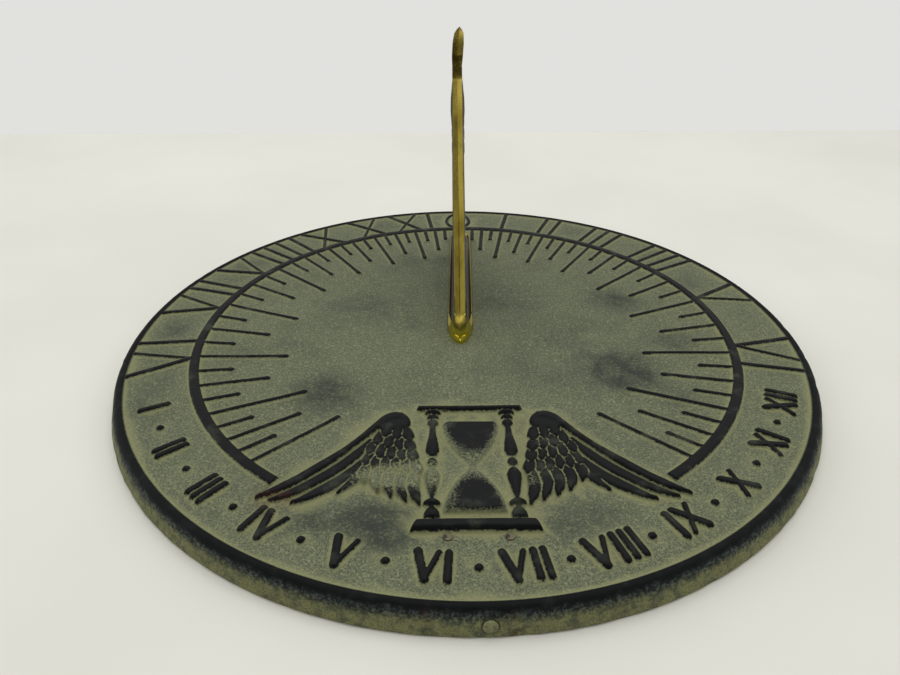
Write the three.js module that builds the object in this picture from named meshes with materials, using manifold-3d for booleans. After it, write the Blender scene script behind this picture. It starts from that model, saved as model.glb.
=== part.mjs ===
// A garden sundial: a round cast-iron dial plate with its relief cast in one, a brass gnomon held
// from below by two screws, two small pins in the face and a plug in the rim.
// Millimetres, +Z up, +Y towards noon and +X towards the afternoon hours. The origin is the centre
// of the dial, on the surface that it rests on.

import * as THREE from 'three';
import { mergeVertices } from 'three/addons/utils/BufferGeometryUtils.js';
import Module from 'manifold-3d';

const wasm = await Module();
wasm.setup();

// ---------------------------------------------------------------- driving dimensions

const clearance = 0.3;
const sink = 0.6;

const dialRadius = 130;
const faceHeight = 7;
const rimInnerRadius = 124.7;
const recessHeight = 3.4;
const recessRadius = 116;
const skirtInnerRadius = 118;
const dialSegments = 96;

const ringInnerRadius = 100;
const ringOuterRadius = 103.4;
const ringHeight = 1.3;
const ringGapHalfAngle = THREE.MathUtils.degToRad(34.5);

const latitude = THREE.MathUtils.degToRad(40);
const styleThickness = 4.4;
const styleFootY = -17.9;
const hourLineEnd = 69;
const halfHourLineEnd = 77;
const quarterHourLineEnd = 89;
const lastHourFromNoon = 8;
const hourLineWidth = 1.8;
const hourLineHeight = 1.15;

const hourNumeralWidth = 2;
const hourNumeralHeight = 1.2;
const monthNumeralWidth = 2.1;
const monthNumeralHeight = 1.4;
const studRadius = 1.2;
const scaleOuterRadius = 119.6;
const scaleInnerRadius = 111;
const scaleHalfSpan = THREE.MathUtils.degToRad(65);

const flangeWidth = 10.5;
const flangeThickness = 2.4;
const flangeNoseY = -9.9;
const flangeHeelY = 93;
const bowLength = 14;
const heelLength = 9;
const solidNoseY = 0.5;
const channelInset = 0.9;
const channelDepth = 1.2;
const keelThickness = 5.4;
const webThickness = 3.2;
const upperLeafThickness = 5.9;
const lowerLeafThickness = 5;
const styleTopY = 76.8;
const finialTip = { y: 86.5, z: 106.6 };
const gnomonTurn = THREE.MathUtils.degToRad(-1.5);
const gnomonLean = THREE.MathUtils.degToRad(-1.35);
const gnomonPivot = new THREE.Vector3(0, 60, faceHeight);

const screwYs = { front: 14, rear: 66 };
const screwRadius = 1.5;
const screwLength = 10;
const screwHeadRadius = 2.8;
const screwHeadHeight = 2.4;
const lockWasherRadius = 3.1;
const lockWasherThickness = 0.8;
const seatHeight = 4.2;
const seatRadius = 3.7;

const pinXs = { left: -7.7, right: 8.85 };
const pinY = -105.2;
const pinRadius = 1.2;
const pinTop = faceHeight + 0.5;
const collarWidth = 1.2;
const plugRadius = 2;
const plugZ = 2.9;
const plugAzimuth = THREE.MathUtils.degToRad(-89);
const plugFaceRadius = 129.2;
const plugLength = 7;

// ---------------------------------------------------------------- materials

function finish(color, roughness, metalness) {
  return new THREE.MeshStandardMaterial({ color, roughness, metalness });
}

const castIron = finish(0x5d6353, 0.75, 0.2);
const brass = finish(0x9c8c36, 0.3, 1);
const steel = finish(0x9a9a96, 0.4, 1);
const paintedPlug = finish(0x8a8f68, 0.6, 0.2);
const brownedPin = finish(0x7d7462, 0.7, 0.3);

// ---------------------------------------------------------------- solids from geometries

// A closed geometry as a solid that can be joined and cut.
function solid(geometry, matrix = new THREE.Matrix4()) {
  const plain = geometry.clone().applyMatrix4(matrix);
  plain.deleteAttribute('normal');
  plain.deleteAttribute('uv');
  const merged = mergeVertices(plain, 1e-4);
  const corners = merged.index.array;
  const triangles = [];
  for (let i = 0; i < corners.length; i += 3) {
    const [a, b, c] = [corners[i], corners[i + 1], corners[i + 2]];
    if (a !== b && b !== c && c !== a) triangles.push(a, b, c);
  }
  return new wasm.Manifold(new wasm.Mesh({
    numProp: 3,
    vertProperties: new Float32Array(merged.attributes.position.array),
    triVerts: new Uint32Array(triangles),
  }));
}

function joined(solids) {
  return solids.reduce((whole, piece) => whole.add(piece));
}

function geometryOf(manifold) {
  const { vertProperties, triVerts } = manifold.getMesh();
  const geometry = new THREE.BufferGeometry();
  geometry.setAttribute('position', new THREE.BufferAttribute(new Float32Array(vertProperties), 3));
  geometry.setIndex(new THREE.BufferAttribute(new Uint32Array(triVerts), 1));
  geometry.computeVertexNormals();
  return geometry;
}

function part(name, manifold, material) {
  const mesh = new THREE.Mesh(geometryOf(manifold), material);
  mesh.name = name;
  return mesh;
}

// ---------------------------------------------------------------- shared shapes

// A shape turned about +Z. Its profile is a list of [radius, height], anticlockwise from the axis.
function turned(profile, segments) {
  const lathe = new THREE.LatheGeometry(profile.map(([r, z]) => new THREE.Vector2(r, z)), segments);
  return lathe.rotateX(Math.PI / 2);
}

// A shape drawn in the plane of the dial and raised from one height to another.
function raised(shape, bottom, top, curveSegments = 12) {
  const depth = top - bottom;
  const geometry = new THREE.ExtrudeGeometry(shape, { depth, bevelEnabled: false, curveSegments });
  return solid(geometry.translate(0, 0, bottom));
}

// A shape drawn from the side, with y across and z up, as thick as the given width along X.
function slab(shape, thickness, curveSegments = 10) {
  const sideways = new THREE.Matrix4().makeBasis(
    new THREE.Vector3(0, 1, 0), new THREE.Vector3(0, 0, 1), new THREE.Vector3(1, 0, 0));
  const settings = { depth: thickness, bevelEnabled: false, curveSegments };
  const geometry = new THREE.ExtrudeGeometry(shape, settings);
  return solid(geometry.translate(0, 0, -thickness / 2), sideways);
}

function rod(radius, bottom, top, x, y, segments = 24) {
  const cylinder = new THREE.CylinderGeometry(radius, radius, top - bottom, segments);
  return solid(cylinder.rotateX(Math.PI / 2).translate(x, y, (top + bottom) / 2));
}

// A cast ridge between two points of the face, with sloping sides.
function ridge(from, to, width, height) {
  const crestShare = 0.6;
  const run = new THREE.Vector2().subVectors(to, from);
  const slope = ((1 - crestShare) * width) / 2 / height;
  const foot = width / 2 + slope * sink;
  const crest = width / 2 - slope * height;
  const section = new THREE.Shape([
    new THREE.Vector2(-foot, -sink),
    new THREE.Vector2(foot, -sink),
    new THREE.Vector2(crest, height),
    new THREE.Vector2(-crest, height),
  ]);
  const along = new THREE.Vector3(run.x, run.y, 0).normalize();
  const up = new THREE.Vector3(0, 0, 1);
  const across = new THREE.Vector3().crossVectors(up, along);
  const place = new THREE.Matrix4().makeBasis(across, up, along).setPosition(from.x, from.y, faceHeight);
  return solid(new THREE.ExtrudeGeometry(section, { depth: run.length(), bevelEnabled: false }), place);
}

// A point of the face, by its radius and its angle clockwise from noon.
function onFace(radius, angle) {
  return new THREE.Vector2(radius * Math.sin(angle), radius * Math.cos(angle));
}

// ---------------------------------------------------------------- dial plate

function plateBody() {
  return solid(turned([
    [0, recessHeight],
    [recessRadius, recessHeight],
    [skirtInnerRadius, 0],
    [dialRadius - 0.5, 0],
    [dialRadius, 0.7],
    [128.6, 5.2],
    [127.7, 7],
    [126.4, 7.8],
    [125.3, 7.6],
    [rimInnerRadius, faceHeight],
    [0, faceHeight],
  ], dialSegments));
}

// The ring inside the numerals, open at the bottom, where the wings' tips meet its two ends.
function innerRing() {
  const start = -Math.PI / 2 + ringGapHalfAngle;
  const end = (3 * Math.PI) / 2 - ringGapHalfAngle;
  const shape = new THREE.Shape();
  shape.absarc(0, 0, ringOuterRadius, start, end, false);
  shape.absarc(0, 0, ringInnerRadius, end, start, true);
  return raised(shape, faceHeight - sink, faceHeight + ringHeight, 72);
}

// Where the line of an hour, counted from noon, crosses a circle about the dial's centre. Lines
// before noon start from the style's morning edge, and lines after it from its afternoon edge.
function hourPoint(hour, radius) {
  const start = new THREE.Vector2((Math.sign(hour) * styleThickness) / 2, styleFootY);
  const hourAngle = THREE.MathUtils.degToRad(15 * hour);
  const angle = Math.atan2(Math.sin(latitude) * Math.sin(hourAngle), Math.cos(hourAngle));
  const along = onFace(1, angle);
  const near = start.dot(along);
  const reach = -near + Math.sqrt(near ** 2 - start.lengthSq() + radius ** 2);
  return start.clone().addScaledVector(along, reach);
}

function hourLines() {
  const lines = [];
  for (let quarter = 1; quarter <= 4 * lastHourFromNoon; quarter += 1) {
    let end = quarterHourLineEnd;
    if (quarter % 2 === 0) end = halfHourLineEnd;
    if (quarter % 4 === 0) end = hourLineEnd;
    for (const side of [-1, 1]) {
      const hour = (side * quarter) / 4;
      const outer = hourPoint(hour, ringInnerRadius + 1);
      lines.push(ridge(hourPoint(hour, end), outer, hourLineWidth, hourLineHeight));
    }
  }
  return lines;
}

// Strokes of the numerals' letters, as [across, up, across, up, weight], with widths in letter
// heights and the left foot at 0.
const letters = {
  I: { width: 0, strokes: [[0, 0, 0, 1, 1]] },
  V: { width: 0.66, strokes: [[0, 1, 0.33, 0, 1.1], [0.66, 1, 0.33, 0, 0.7]] },
  X: { width: 0.6, strokes: [[0, 1, 0.6, 0, 1.1], [0.6, 1, 0, 0, 0.7]] },
};

// A numeral written round a circle, from its feet's radius to its tops', clockwise or not.
function numeral(text, angle, footRadius, topRadius, strokeWidth, strokeHeight) {
  const height = Math.abs(topRadius - footRadius);
  const middle = (topRadius + footRadius) / 2;
  const clockwise = Math.sign(topRadius - footRadius);
  const gap = 0.31 * height;
  const widths = [...text].map((letter) => letters[letter].width * height);
  const total = widths.reduce((sum, width) => sum + width, gap * (text.length - 1));
  const strokes = [];
  let left = -total / 2;
  [...text].forEach((letter, place) => {
    for (const [x0, y0, x1, y1, share] of letters[letter].strokes) {
      const [from, to] = [[x0, y0], [x1, y1]].map(([x, y]) => onFace(
        footRadius + y * (topRadius - footRadius),
        angle + (clockwise * (left + x * height)) / middle));
      strokes.push(ridge(from, to, strokeWidth * share, strokeHeight));
    }
    left += widths[place] + gap;
  });
  return strokes;
}

// The hours, between the ring and the rim, and the oval ring that stands for noon.
function hourNumerals() {
  const morning = { VI: -6, VII: -5, VIII: -4, IX: -3, X: -2, XI: -1 };
  const afternoon = { I: 1, II: 2, III: 3, IIII: 4, V: 5, VI: 6 };
  const feet = ringOuterRadius - 0.4;
  const tops = rimInnerRadius - 0.7;
  const strokes = [morning, afternoon].flatMap((half) => Object.entries(half).flatMap(([text, hour]) => {
    const point = hourPoint(hour, (feet + tops) / 2);
    const angle = Math.atan2(point.x, point.y);
    return numeral(text, angle, feet, tops, hourNumeralWidth, hourNumeralHeight);
  }));
  const oval = new THREE.Shape().absellipse(0, 112.8, 6.9, 10, 0, 2 * Math.PI);
  oval.holes.push(new THREE.Path().absellipse(0, 112.8, 5, 8.2, 0, 2 * Math.PI));
  return [...strokes, raised(oval, faceHeight - sink, faceHeight + hourNumeralHeight, 16)];
}

// A calendar scale of plain month numerals round the lower band, with a stud between months.
function monthScale() {
  const months = ['I', 'II', 'III', 'IV', 'V', 'VI', 'VII', 'VIII', 'IX', 'X', 'XI', 'XII'];
  const step = (2 * scaleHalfSpan) / (months.length - 1);
  const [feet, tops] = [scaleOuterRadius, scaleInnerRadius];
  return months.flatMap((text, month) => {
    const angle = Math.PI + scaleHalfSpan - month * step;
    const strokes = numeral(text, angle, feet, tops, monthNumeralWidth, monthNumeralHeight);
    if (month > 0) {
      const stud = onFace((scaleOuterRadius + scaleInnerRadius) / 2, angle + step / 2);
      strokes.push(rod(studRadius, faceHeight - sink, faceHeight + monthNumeralHeight, stud.x, stud.y, 6));
    }
    return strokes;
  });
}

// A rounded swelling of the face, half sunk, between two points.
function swelling(from, to, width, height) {
  const run = new THREE.Vector2().subVectors(to, from);
  const middle = new THREE.Vector2().addVectors(from, to).multiplyScalar(0.5);
  const shape = new THREE.SphereGeometry(1, 8, 6);
  shape.rotateX(Math.PI / 2).scale(run.length() / 2, width / 2, height);
  shape.rotateZ(Math.atan2(run.y, run.x)).translate(middle.x, middle.y, faceHeight);
  return solid(shape);
}

// A turned shape lying half sunk in the face along Y, with its profile as [radius, y] from the top.
function lying(profile, x, flatness, segments) {
  const shape = turned(profile.map(([r, y]) => [r, -y]), segments);
  return solid(shape.rotateX(Math.PI / 2).scale(1, 1, flatness).translate(x, 0, faceHeight));
}

// The hourglass: two bars, two turned pillars and two bulbs that meet at the neck.
function hourglass() {
  const plinth = new THREE.Shape([
    new THREE.Vector2(-15, -99),
    new THREE.Vector2(-18.5, -103.4),
    new THREE.Vector2(18.5, -103.4),
    new THREE.Vector2(15, -99),
  ]);
  const cap = new THREE.Shape([
    new THREE.Vector2(-17.4, -52.8),
    new THREE.Vector2(17.4, -52.8),
    new THREE.Vector2(17.4, -49.9),
    new THREE.Vector2(-17.4, -49.9),
  ]);
  const pillar = [
    [0, -53], [2.3, -53], [2.3, -55.8], [1.6, -56.2], [2.4, -58.4], [1.2, -61],
    [1.4, -65], [2.2, -70.5], [0.8, -73.6], [2, -76.3], [0.8, -78.8], [2.5, -82.5],
    [1, -91], [2.7, -93.4], [1.7, -95.2], [2.6, -98], [0, -98],
  ];
  const bulbs = [
    [0, -58], [8.9, -58], [8.9, -63], [8, -69], [5, -75], [1.6, -77.8],
    [4, -80.5], [6.6, -84.5], [8.4, -90], [8.8, -95.4], [0, -95.4],
  ];
  return [
    raised(plinth, faceHeight - sink, faceHeight + 2),
    raised(cap, faceHeight - sink, faceHeight + 1.4),
    lying(pillar, -12, 0.8, 10),
    lying(pillar, 12, 0.8, 10),
    lying(bulbs, 0, 0.24, 16),
  ];
}

// One wing, on the side that its sign gives: the leading edge, long primaries, short secondaries
// and two rows of coverts.
function wing(side) {
  const at = (x, y) => new THREE.Vector2(side * x, y);
  const feathers = [
    swelling(at(17.6, -57), at(31, -57.5), 9, 2.2),
    swelling(at(22, -53.5), at(43, -76), 4.6, 2),
    swelling(at(33, -64), at(62.4, -89.8), 4.2, 1.8),
    swelling(at(30, -68), at(57, -92), 4, 1.6),
    swelling(at(29, -73), at(50, -92.3), 4, 1.4),
    swelling(at(28, -77), at(41, -90), 3.6, 1.2),
  ];
  for (let row = 0; row < 5; row += 1) {
    const x = 17.4 + row * 3.4;
    feathers.push(swelling(at(x + 1.2, -74), at(x - 1, -94 + row * 1.3), 3.4, 1.2));
  }
  for (let row = 0; row < 2; row += 1) {
    for (let place = 0; place < 3; place += 1) {
      const x = 19.5 + place * 4 + row * 1.4;
      const y = -61.5 - row * 5.2 - place * 1.2;
      feathers.push(swelling(at(x - 1, y - 5), at(x + 1.2, y + 1.5), 4.2, 1.4));
    }
  }
  return feathers;
}

// Raised collars round the two face pins.
function pinCollars() {
  return Object.values(pinXs).map(
    (x) => rod(pinRadius + collarWidth, faceHeight - sink, faceHeight + 0.3, x, pinY));
}

function plugSolid(radius, inner, outer) {
  const cylinder = new THREE.CylinderGeometry(radius, radius, outer - inner, 24);
  const middle = (inner + outer) / 2;
  cylinder.rotateZ(Math.PI / 2).translate(middle, 0, plugZ).rotateZ(plugAzimuth);
  return solid(cylinder);
}

// The gnomon, its screws and washers share one frame, which the pivot turns and leans.
function inGnomonFrame(manifold) {
  const { x, y, z } = gnomonPivot;
  const turn = new THREE.Matrix4().makeRotationFromEuler(new THREE.Euler(0, gnomonLean, gnomonTurn));
  const matrix = new THREE.Matrix4().makeTranslation(x, y, z).multiply(turn);
  matrix.multiply(new THREE.Matrix4().makeTranslation(-x, -y, -z));
  return manifold.transform(matrix.elements);
}

function screwSeats() {
  return Object.values(screwYs).flatMap((y) => [
    rod(screwRadius + clearance, 0, faceHeight + 1, 0, y),
    rod(seatRadius, 0, seatHeight, 0, y),
  ]).map(inGnomonFrame);
}

function dialPlate() {
  const whole = joined([
    plateBody(),
    innerRing(),
    ...hourLines(),
    ...hourNumerals(),
    ...monthScale(),
    ...hourglass(),
    ...wing(-1),
    ...wing(1),
    ...pinCollars(),
  ]);
  const holes = [
    ...screwSeats(),
    ...Object.values(pinXs).map((x) => rod(pinRadius + clearance, 0, faceHeight + 2, x, pinY)),
    plugSolid(plugRadius + clearance, plugFaceRadius - plugLength - clearance, dialRadius + 1),
  ];
  return whole.subtract(joined(holes));
}

// ---------------------------------------------------------------- gnomon

// The foot seen from above: a nose like a boat's bow, straight sides and a round heel.
function boat(inset) {
  const half = flangeWidth / 2 - inset;
  const nose = flangeNoseY + inset;
  const heel = flangeHeelY - inset;
  const bow = (share) => nose + share * bowLength;
  const shape = new THREE.Shape();
  shape.moveTo(-half, heel - heelLength);
  shape.lineTo(-half, bow(1));
  shape.bezierCurveTo(-half, bow(0.6), -half / 2, bow(0.2), 0, nose);
  shape.bezierCurveTo(half / 2, bow(0.2), half, bow(0.6), half, bow(1));
  shape.lineTo(half, heel - heelLength);
  shape.quadraticCurveTo(half, heel - 2.5, 0, heel);
  shape.quadraticCurveTo(-half, heel - 2.5, -half, heel - heelLength);
  return shape;
}

function styleHeight(y) {
  return faceHeight + (y - styleFootY) * Math.tan(latitude);
}

// The rail under the style's edge, from the nose up to the style's top corner.
function styleRail() {
  const low = faceHeight + clearance;
  const depth = 9;
  const shape = new THREE.Shape();
  shape.moveTo(flangeNoseY + 0.4, low);
  shape.quadraticCurveTo(flangeNoseY + 0.5, 13, flangeNoseY + 3.9, styleHeight(flangeNoseY + 3.9));
  shape.lineTo(styleTopY, styleHeight(styleTopY));
  shape.lineTo(styleTopY + 3.4, styleHeight(styleTopY) - 1.2);
  shape.lineTo(styleTopY + 3.4, styleHeight(styleTopY) - depth);
  shape.lineTo(6, low);
  return slab(shape, styleThickness);
}

// The finial, a pointed leaf that leans forward over a hollow behind the style's top corner.
function finial() {
  const corner = styleHeight(styleTopY);
  const shape = new THREE.Shape();
  shape.moveTo(styleTopY - 4, corner - 9);
  shape.lineTo(styleTopY + 2.6, corner - 1);
  shape.quadraticCurveTo(styleTopY + 4.6, corner + 3, styleTopY + 2.4, corner + 8.5);
  shape.quadraticCurveTo(styleTopY + 2.6, corner + 15, finialTip.y, finialTip.z);
  shape.quadraticCurveTo(finialTip.y + 5, corner + 12, styleTopY + 11, corner + 4);
  shape.quadraticCurveTo(styleTopY + 9, corner - 4, styleTopY + 5.6, corner - 12);
  return slab(shape, styleThickness);
}

// The web between the style and the foot, with its back edge swept in below the finial.
function web() {
  const corner = styleHeight(styleTopY);
  const low = faceHeight + clearance;
  const shape = new THREE.Shape();
  shape.moveTo(-4, low);
  shape.lineTo(-4, styleHeight(-4) - 1);
  shape.lineTo(styleTopY, corner - 1);
  shape.lineTo(styleTopY + 6.5, corner - 5);
  shape.bezierCurveTo(styleTopY - 1, corner - 26, styleTopY - 12, 42, styleTopY - 5, 24);
  shape.quadraticCurveTo(styleTopY - 1, 14, flangeHeelY - 7, low + flangeThickness);
  shape.lineTo(flangeHeelY - 7, low);
  return slab(shape, webThickness);
}

// Two leaves cast on both sides of the web, one under the finial and one along the back.
function sideLeaves() {
  const upper = new THREE.Shape();
  upper.moveTo(81, 85);
  upper.quadraticCurveTo(66, 80, 56, 68);
  upper.quadraticCurveTo(66, 66, 73, 70);
  upper.quadraticCurveTo(79, 76, 81, 85);
  const lower = new THREE.Shape();
  lower.moveTo(70, 62);
  lower.bezierCurveTo(52, 58, 30, 40, 16, 18);
  lower.bezierCurveTo(34, 22, 58, 26, 70, 62);
  return [slab(upper, upperLeafThickness), slab(lower, lowerLeafThickness)];
}

// The part of a solid between two places along Y.
function between(manifold, fromY, toY) {
  const size = new THREE.Vector3(2 * flangeWidth, toY - fromY, 2 * finialTip.z);
  const box = new THREE.BoxGeometry(...size.toArray()).translate(0, (fromY + toY) / 2, 0);
  return manifold.intersect(solid(box));
}

function gnomon() {
  const low = faceHeight + clearance;
  const top = low + flangeThickness;
  const foot = raised(boat(0), low, top);
  const channel = raised(boat(channelInset), top - channelDepth, top + 1);
  const keel = foot.intersect(slab(new THREE.Shape([
    new THREE.Vector2(flangeNoseY, low),
    new THREE.Vector2(flangeHeelY, low),
    new THREE.Vector2(flangeHeelY, top),
    new THREE.Vector2(flangeNoseY, top),
  ]), keelThickness));
  const body = joined([
    foot.subtract(channel),
    keel,
    between(foot, flangeNoseY - 1, solidNoseY),
    styleRail().intersect(raised(boat(0), low, finialTip.z)),
    finial(),
    web(),
    ...sideLeaves(),
  ]);
  const tappedHoles = Object.values(screwYs).map(
    (y) => rod(screwRadius + clearance, 0, seatHeight + screwLength, 0, y, 16));
  return body.subtract(joined(tappedHoles));
}

// ---------------------------------------------------------------- fasteners

// A slotted pan-head screw that enters the gnomon from below.
function screw(y) {
  const headTop = seatHeight - lockWasherThickness - 2 * clearance;
  const headBottom = headTop - screwHeadHeight;
  const body = solid(turned([
    [0, headBottom],
    [1.9, headBottom],
    [2.6, headBottom + 0.7],
    [screwHeadRadius, headBottom + 1.5],
    [screwHeadRadius, headTop],
    [screwRadius, headTop],
    [screwRadius, headTop + screwLength - 0.5],
    [screwRadius - 0.5, headTop + screwLength],
    [0, headTop + screwLength],
  ], 24).translate(0, y, 0));
  const slot = new THREE.BoxGeometry(0.9, 8, 2.4).translate(0, y, headBottom);
  return body.subtract(solid(slot));
}

// A split lock washer between the screw's head and its seat.
function lockWasher(y) {
  const split = 0.12;
  const shape = new THREE.Shape();
  shape.absarc(0, y, lockWasherRadius, split, 2 * Math.PI - split, false);
  shape.absarc(0, y, screwRadius + clearance, 2 * Math.PI - split, split, true);
  const top = seatHeight - clearance;
  return raised(shape, top - lockWasherThickness, top, 20);
}

// ---------------------------------------------------------------- assembly

const sundial = new THREE.Group();
sundial.add(part('dial_plate', dialPlate(), castIron));

const gnomonGroup = new THREE.Group();
gnomonGroup.position.copy(gnomonPivot);
gnomonGroup.rotation.set(0, gnomonLean, gnomonTurn);
sundial.add(gnomonGroup);

function addToGnomon(mesh) {
  mesh.position.copy(gnomonPivot).negate();
  gnomonGroup.add(mesh);
}

addToGnomon(part('gnomon', gnomon(), brass));
for (const [place, y] of Object.entries(screwYs)) {
  addToGnomon(part(`gnomon_screw_${place}`, screw(y), steel));
  addToGnomon(part(`lock_washer_${place}`, lockWasher(y), steel));
}

for (const [place, x] of Object.entries(pinXs)) {
  const pin = rod(pinRadius, recessHeight - 0.8, pinTop, x, pinY);
  sundial.add(part(`face_pin_${place}`, pin, brownedPin));
}
const plug = plugSolid(plugRadius, plugFaceRadius - plugLength, plugFaceRadius);
sundial.add(part('rim_plug', plug, paintedPlug));

export default sundial;
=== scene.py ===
"""Looks of the garden sundial: a patinated cast-iron dial with its relief, and a brass gnomon.

Shapes are worked out in millimetres and become metres where a mesh is made. +X points to the
afternoon hours, +Y to noon, and the dial rests on z = 0.
"""

import math

import bpy
import numpy as np
from mathutils import Matrix, Vector
from mathutils.geometry import delaunay_2d_cdt


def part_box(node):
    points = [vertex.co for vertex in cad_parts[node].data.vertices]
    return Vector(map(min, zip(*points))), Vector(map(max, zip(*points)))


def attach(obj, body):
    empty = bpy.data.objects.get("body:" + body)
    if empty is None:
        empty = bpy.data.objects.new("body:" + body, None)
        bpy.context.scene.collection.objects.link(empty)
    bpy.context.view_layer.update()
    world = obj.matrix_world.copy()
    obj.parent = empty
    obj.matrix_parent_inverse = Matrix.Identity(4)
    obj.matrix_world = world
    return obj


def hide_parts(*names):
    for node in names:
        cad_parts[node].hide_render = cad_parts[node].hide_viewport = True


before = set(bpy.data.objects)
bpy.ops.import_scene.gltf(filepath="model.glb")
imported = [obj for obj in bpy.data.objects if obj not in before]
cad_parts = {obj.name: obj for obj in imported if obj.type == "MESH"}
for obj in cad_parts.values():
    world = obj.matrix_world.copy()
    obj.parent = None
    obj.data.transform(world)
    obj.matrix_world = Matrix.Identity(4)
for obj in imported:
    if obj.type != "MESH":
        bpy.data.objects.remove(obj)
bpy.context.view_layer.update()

MM = 0.001
SEED = 41

# ---- sizes shared with the frame

plate_low, plate_high = (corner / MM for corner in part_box("dial_plate"))
plug_low, plug_high = (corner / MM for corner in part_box("rim_plug"))
pin_boxes = {place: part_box(f"face_pin_{place}") for place in ("left", "right")}
screw_boxes = {place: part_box(f"gnomon_screw_{place}") for place in ("front", "rear")}

DIAL_RADIUS = plate_high.x
FACE_Z = 7.0
RIM_INNER_RADIUS = 124.7
RING_MIDDLE = 101.7
RING_HALF_WIDTH = 1.7
RING_HEIGHT = 1.3
RING_SKIRT = 0.3
RING_GAP_HALF_ANGLE = math.radians(34.5)

LATITUDE = math.radians(40)
STYLE_THICKNESS = 4.4
STYLE_FOOT_Y = -17.9
HOUR_LINE_ENDS = {4: 69.0, 2: 77.0, 1: 89.0}
LAST_QUARTER = 32
LINE_HALF_WIDTH = 0.8
LINE_HEIGHT = 1.15
LINE_FLARE = 0.18
LINE_SKIRT = 0.32

HOUR_NUMERAL = {"feet": 103.2, "tops": 124.2, "half_width": 0.98, "height": 1.2}
MONTH_NUMERAL = {"feet": 119.6, "tops": 111.0, "half_width": 1.06, "height": 1.45}
NUMERAL_SKIRT = 0.25
MONTH_HALF_SPAN = math.radians(65)
STUD_RADIUS = 1.1
STUD_HEIGHT = 1.3

RIM_RINGS = 30
FOOT_RADIUS = 129.2
HOLLOW_RADIUS = 118.2
HOLLOW_DEPTH = 3.4
SCREW_SEAT_RADIUS = 3.75
SCREW_SEAT_DEPTH = 0.8
POCKET_RADIUS = 2.15
POCKET_DEPTH = 1.3
COLLAR_RADIUS = 2.1
PIN_HOLE_RADIUS = 1.4
PLATE_TRIANGLES = 186000

PINS = {place: (low + high) / 2 / MM for place, (low, high) in pin_boxes.items()}
PIN_TOP = pin_boxes["left"][1].z / MM
PLUG_CENTRE = (plug_low + plug_high) / 2


# ---- curves and maps

def rise(low, high, values):
    """0 below low, 1 above high and smooth between them."""
    share = np.clip((values - low) / (high - low), 0, 1)
    return share * share * (3 - 2 * share)


def within(start, full, falling, end, values):
    """1 from full to falling, 0 before start and after end, and smooth between them."""
    return rise(start, full, values) * (1 - rise(falling, end, values))


def curve(points, count=24):
    """A smooth path through the points (Catmull-Rom)."""
    knots = np.asarray(points, float)
    knots = np.vstack([2 * knots[0] - knots[1], knots, 2 * knots[-1] - knots[-2]])
    spans = len(points) - 1
    places = np.linspace(0, spans, count + 1)
    span = np.minimum(places.astype(int), spans - 1)
    t = (places - span)[:, None]
    a, b, c, d = (knots[span + offset] for offset in range(4))
    square = (2 * a - 5 * b + 4 * c - d) * t**2
    cube = (3 * b - a - 3 * c + d) * t**3
    return 0.5 * (2 * b + (c - a) * t + square + cube)


def from_path(path, x, y):
    """Signed distance from a path, positive on its left, and the share of its length reached there."""
    path = np.asarray(path, float)
    runs = np.diff(path, axis=0)
    lengths = np.hypot(runs[:, 0], runs[:, 1])
    before = np.concatenate([[0], np.cumsum(lengths)])
    nearest = np.full(x.shape, 1e9)
    side = np.ones(x.shape)
    share = np.zeros(x.shape)
    for (px, py), (rx, ry), length, start in zip(path, runs, lengths, before):
        t = np.clip(((x - px) * rx + (y - py) * ry) / length**2, 0, 1)
        dx = x - px - t * rx
        dy = y - py - t * ry
        distance = np.hypot(dx, dy)
        closer = distance < nearest
        nearest = np.where(closer, distance, nearest)
        side = np.where(closer, np.sign(rx * dy - ry * dx), side)
        share = np.where(closer, (start + t * length) / before[-1], share)
    return nearest * np.where(side == 0, 1, side), share


def blurred(values, radius, step):
    """The map, blurred by a Gaussian of that radius."""
    rows = np.fft.fftfreq(values.shape[0], step)[:, None]
    columns = np.fft.rfftfreq(values.shape[1], step)[None, :]
    keep = np.exp(-2 * (math.pi * radius) ** 2 * (rows**2 + columns**2))
    return np.fft.irfft2(np.fft.rfft2(values) * keep, values.shape)


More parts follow.
